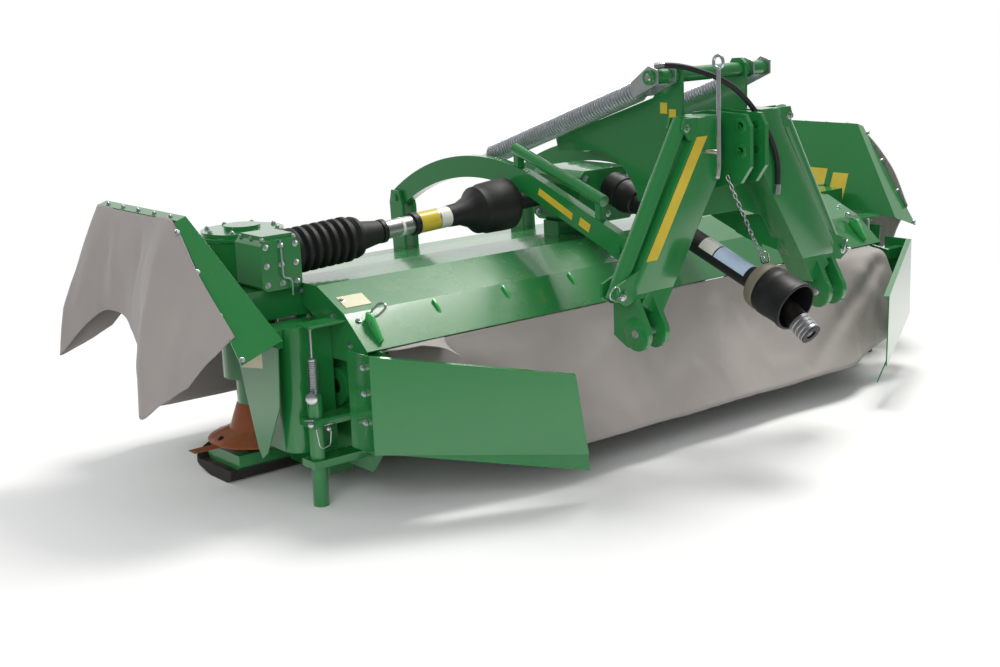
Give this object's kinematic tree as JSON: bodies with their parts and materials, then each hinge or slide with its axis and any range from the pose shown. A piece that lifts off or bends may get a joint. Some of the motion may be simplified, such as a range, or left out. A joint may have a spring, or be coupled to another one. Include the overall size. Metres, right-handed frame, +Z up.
{
  "type": "front-mounted disc mower conditioner",
  "caption": "Front-mounted mower with a row of cutting discs, a tined conditioner, canvas side guards folded up, swath plates and a three-point hitch frame.",
  "frame": {"origin": "on the ground, under the middle of the machine's box", "axes": "+X to the machine's right, across its width; +Y the way it drives; +Z up"},
  "size_m": [3.5622, 1.8609, 1.326],
  "materials": {
    "green_paint": "gloss",
    "canvas": "matt coated canvas",
    "rotor_paint": "worn gloss",
    "dark_steel": "dark",
    "zinc": "zinc plated",
    "black_plastic": "satin",
    "forged_steel": "forged",
    "hose_rubber": "satin"
  },
  "bodies": {
    "chassis": {"belt_cover": "green_paint", "centre_gearcase": "green_paint", "conditioner_plate": "green_paint", "cross_shaft_guard": "black_plastic", "cutterbar": "green_paint", "drive_shroud": "green_paint", "end_frame_left": "green_paint", "end_frame_right": "green_paint", "float_arms": "green_paint", "front_cover": "green_paint", "front_curtain": "canvas", "hood": "green_paint", "hose": "hose_rubber", "input_shaft_guard": "black_plastic", "input_yoke": "forged_steel", "jack_spring_left": "zinc", "jack_spring_right": "zinc", "leg_left": "green_paint", "leg_right": "green_paint", "lever": "zinc", "main_beam": "green_paint", "mast": "green_paint", "mast_cheeks": "green_paint", "nose_tube": "green_paint", "rear_curtain": "canvas", "relief_springs": "zinc", "side_gearcase": "green_paint", "side_rail_left": "green_paint", "side_rail_right": "green_paint", "side_struts": "green_paint", "skids": "dark_steel", "spring_brackets": "zinc", "spring_screws": "zinc", "swath_plate_left": "green_paint", "swath_plate_right": "green_paint", "transport_locks": "green_paint"},
    "guard_left": {"guard_left": "green_paint"},
    "skirt_left": {"skirt_left": "canvas"},
    "jack_left": {"jack_leg_left": "green_paint"},
    "guard_right": {"guard_right": "green_paint"},
    "skirt_right": {"skirt_right": "canvas"},
    "jack_right": {"jack_leg_right": "green_paint"},
    "disc_1": {"disc_1": "rotor_paint"},
    "disc_2": {"disc_2": "rotor_paint"},
    "disc_3": {"disc_3": "rotor_paint"},
    "disc_4": {"disc_4": "rotor_paint"},
    "disc_5": {"disc_5": "rotor_paint"},
    "disc_6": {"disc_6": "rotor_paint"},
    "disc_7": {"disc_7": "rotor_paint"},
    "conditioner": {"tine_rotor": "dark_steel"}
  },
  "joints": [
    {"name": "guard_left_fold", "type": "hinge", "parent": "chassis", "child": "guard_left", "pos_m": [-1.467, 0.3505, 0.545], "axis": [0, -1, 0], "range_deg": [0, 70.3]},
    {"name": "skirt_left_hang", "type": "hinge", "parent": "guard_left", "child": "skirt_left", "pos_m": [-1.6273, 0.3505, 0.90313], "axis": [0, -1, 0], "range_deg": [-70.3, 0], "deforming": ["skirt_left"]},
    {"name": "jack_left_slide", "type": "slide", "parent": "chassis", "child": "jack_left", "axis": [0, 0, 1], "range_m": [0, 0.12], "deforming": ["jack_spring_left"]},
    {"name": "guard_right_fold", "type": "hinge", "parent": "chassis", "child": "guard_right", "pos_m": [1.467, 0.3505, 0.545], "axis": [0, 1, 0], "range_deg": [0, 70.3]},
    {"name": "skirt_right_hang", "type": "hinge", "parent": "guard_right", "child": "skirt_right", "pos_m": [1.6273, 0.3505, 0.90313], "axis": [0, 1, 0], "range_deg": [-70.3, 0], "deforming": ["skirt_right"]},
    {"name": "jack_right_slide", "type": "slide", "parent": "chassis", "child": "jack_right", "axis": [0, 0, 1], "range_m": [0, 0.12], "deforming": ["jack_spring_right"]},
    {"name": "disc_1_spin", "type": "hinge", "parent": "chassis", "child": "disc_1", "pos_m": [-1.29, 0.3905, 0.112], "axis": [0, 0, 1], "continuous": true},
    {"name": "disc_2_spin", "type": "hinge", "parent": "chassis", "child": "disc_2", "pos_m": [-0.86, 0.3905, 0.112], "axis": [0, 0, 1], "continuous": true},
    {"name": "disc_3_spin", "type": "hinge", "parent": "chassis", "child": "disc_3", "pos_m": [-0.43, 0.3905, 0.112], "axis": [0, 0, 1], "continuous": true},
    {"name": "disc_4_spin", "type": "hinge", "parent": "chassis", "child": "disc_4", "pos_m": [0, 0.3905, 0.112], "axis": [0, 0, 1], "continuous": true},
    {"name": "disc_5_spin", "type": "hinge", "parent": "chassis", "child": "disc_5", "pos_m": [0.43, 0.3905, 0.112], "axis": [0, 0, 1], "continuous": true},
    {"name": "disc_6_spin", "type": "hinge", "parent": "chassis", "child": "disc_6", "pos_m": [0.86, 0.3905, 0.112], "axis": [0, 0, 1], "continuous": true},
    {"name": "disc_7_spin", "type": "hinge", "parent": "chassis", "child": "disc_7", "pos_m": [1.29, 0.3905, 0.112], "axis": [0, 0, 1], "continuous": true},
    {"name": "conditioner_spin", "type": "hinge", "parent": "chassis", "child": "conditioner", "pos_m": [0, -0.0095, 0.345], "axis": [1, 0, 0], "continuous": true}
  ],
  "couplings": [
    {"joint": "skirt_left_hang", "follows": "guard_left_fold", "ratio": -1},
    {"joint": "skirt_right_hang", "follows": "guard_right_fold", "ratio": -1},
    {"joint": "disc_2_spin", "follows": "disc_1_spin", "ratio": -1},
    {"joint": "disc_3_spin", "follows": "disc_1_spin", "ratio": 1},
    {"joint": "disc_4_spin", "follows": "disc_1_spin", "ratio": -1},
    {"joint": "disc_5_spin", "follows": "disc_1_spin", "ratio": 1},
    {"joint": "disc_6_spin", "follows": "disc_1_spin", "ratio": -1},
    {"joint": "disc_7_spin", "follows": "disc_1_spin", "ratio": 1}
  ]
}
